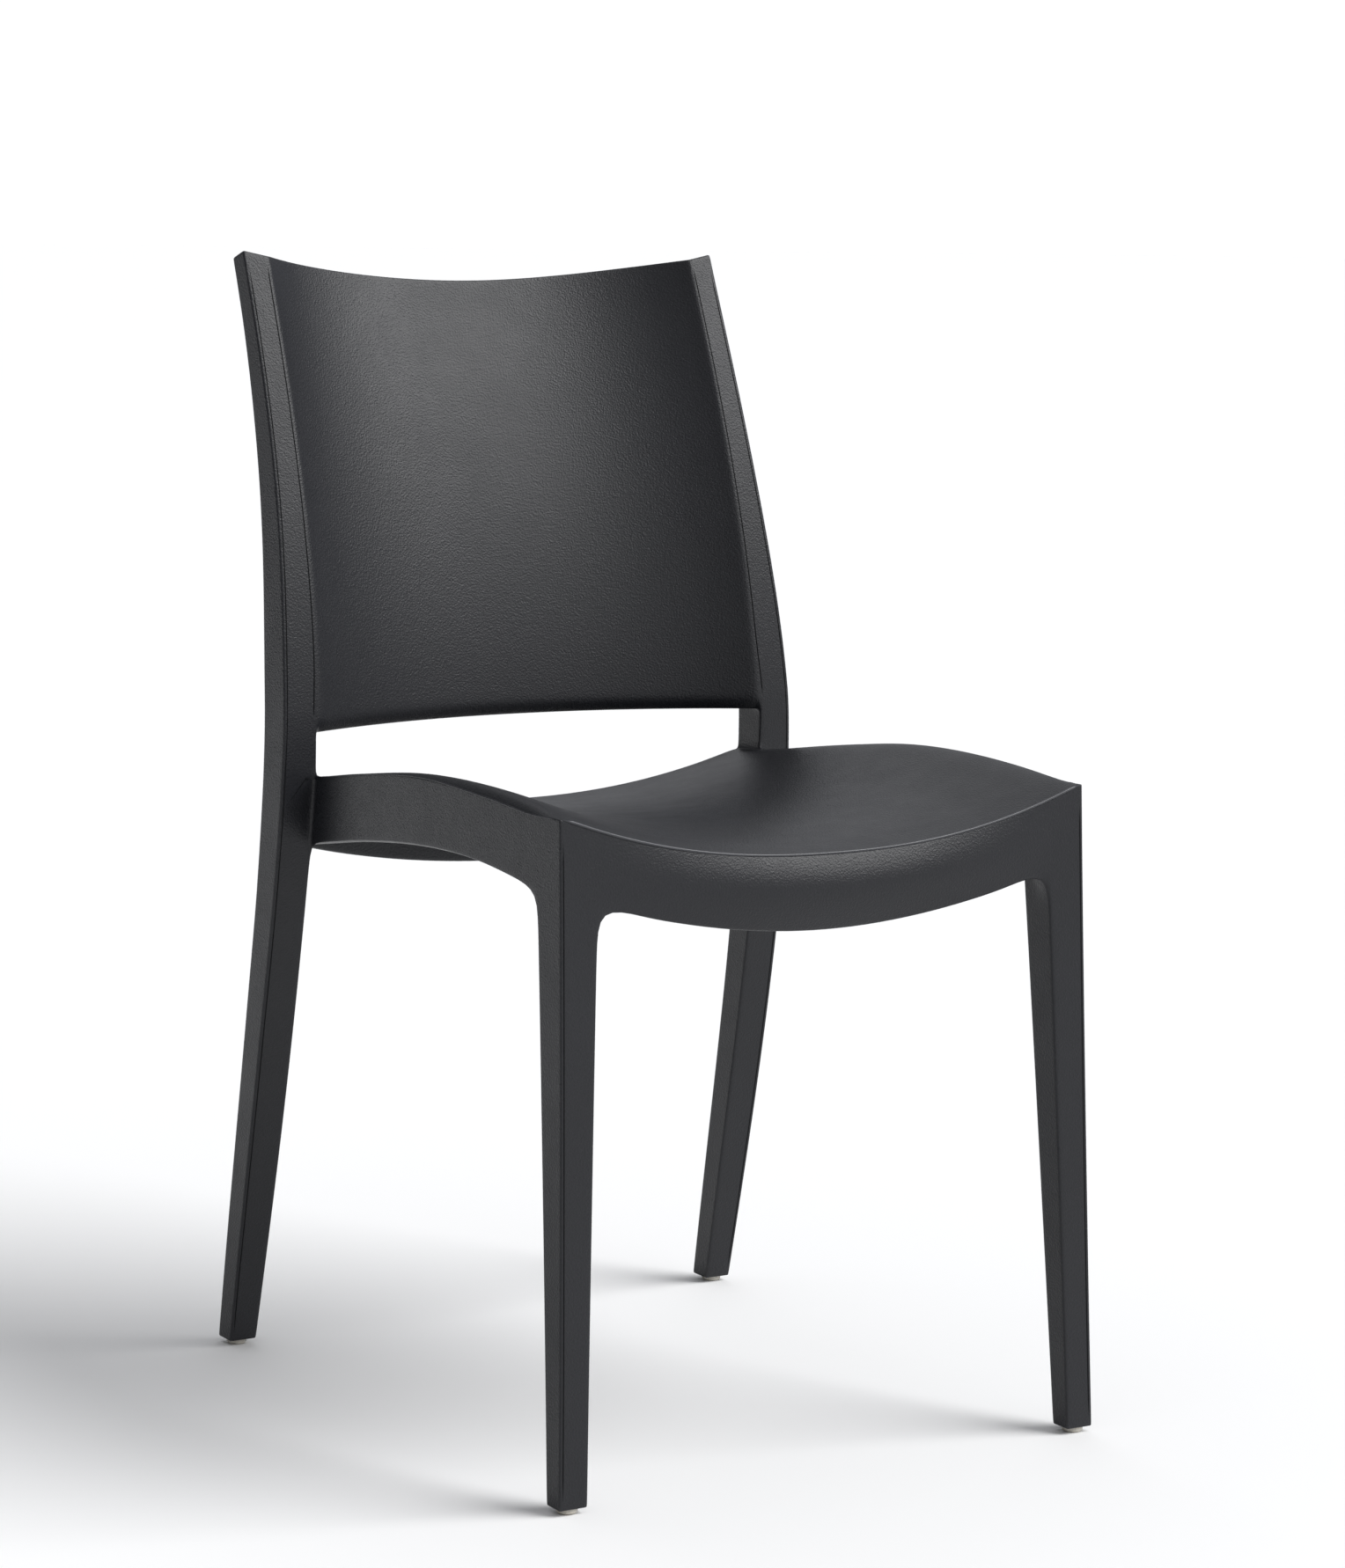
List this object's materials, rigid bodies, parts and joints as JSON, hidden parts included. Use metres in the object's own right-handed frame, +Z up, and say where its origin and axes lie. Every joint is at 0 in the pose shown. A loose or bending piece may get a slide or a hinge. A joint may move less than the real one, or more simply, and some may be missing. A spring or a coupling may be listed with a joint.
{
  "type": "stacking chair",
  "caption": "One-piece moulded stacking chair with a dished back, hand-hold slot, saddle seat and tapered legs on push-in foot glides.",
  "frame": {"origin": "on the floor under the middle of the chair's overall width and depth", "axes": "+Z up, the chair faces -Y, +X to the chair's own left-hand side as seen from behind it, which is the right-hand side seen from the front"},
  "size_m": [0.4442, 0.5568, 0.8089],
  "materials": {
    "moulding": "fine spark-eroded grain with a satin sheen",
    "glide": "smooth, slightly translucent"
  },
  "bodies": {
    "root": {"chair_moulding": "moulding", "front_right_glide": "glide", "front_left_glide": "glide", "rear_right_glide": "glide", "rear_left_glide": "glide"}
  },
  "joints": []
}
